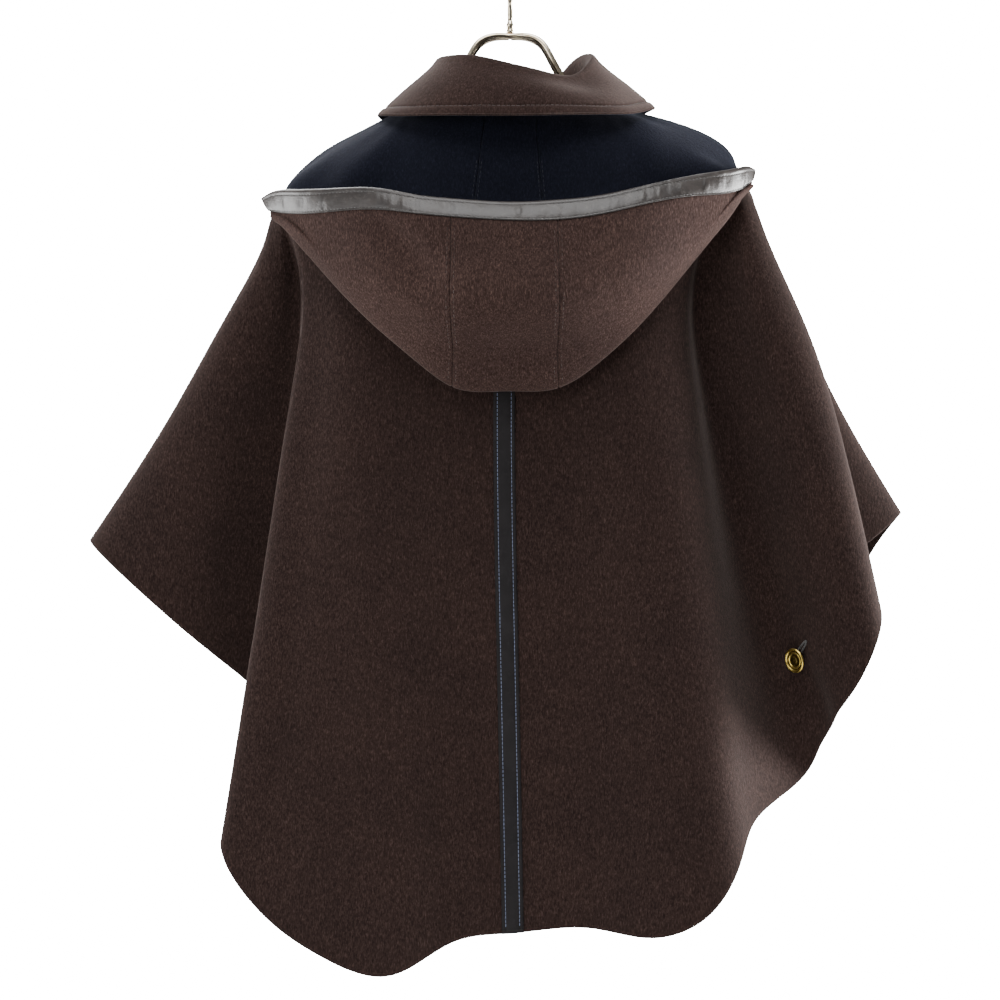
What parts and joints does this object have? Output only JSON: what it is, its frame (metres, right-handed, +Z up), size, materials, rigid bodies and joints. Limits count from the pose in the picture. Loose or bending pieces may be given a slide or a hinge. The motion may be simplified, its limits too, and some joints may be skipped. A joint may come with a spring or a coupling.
{
  "type": "hooded poncho on a hanger",
  "caption": "Wide hooded wool poncho with a turned-down collar, leather-trimmed hood, centre-back stripe and metal buttons, hanging on a wire hanger.",
  "frame": {"origin": "inside top of the hanger's hook, where the rail touches it", "axes": "+Z up, the garment's back faces -Y and its front +Y, +X to the right as the back is looked at"},
  "size_m": [0.7646, 0.2673, 0.9409],
  "materials": {
    "wool": "brushed wool, matt",
    "trim_leather": "smooth, low sheen",
    "stripe_leather": "smooth, low sheen",
    "button_metal": "polished, darkened in the middle",
    "hanger_metal": "polished"
  },
  "bodies": {
    "root": {"back": "wool", "front_left": "wool", "front_right": "wool", "collar": "wool", "hood_left": "wool", "hood_centre": "wool", "hood_right": "wool", "hood_trim": "trim_leather", "back_stripe": "stripe_leather", "side_button_right": "button_metal", "side_button_left": "button_metal", "front_button_1": "button_metal", "front_button_2": "button_metal", "front_button_3": "button_metal", "front_button_4": "button_metal", "hanger_wire": "hanger_metal", "hanger_nut": "hanger_metal", "hanger_hook": "hanger_metal"}
  },
  "joints": []
}
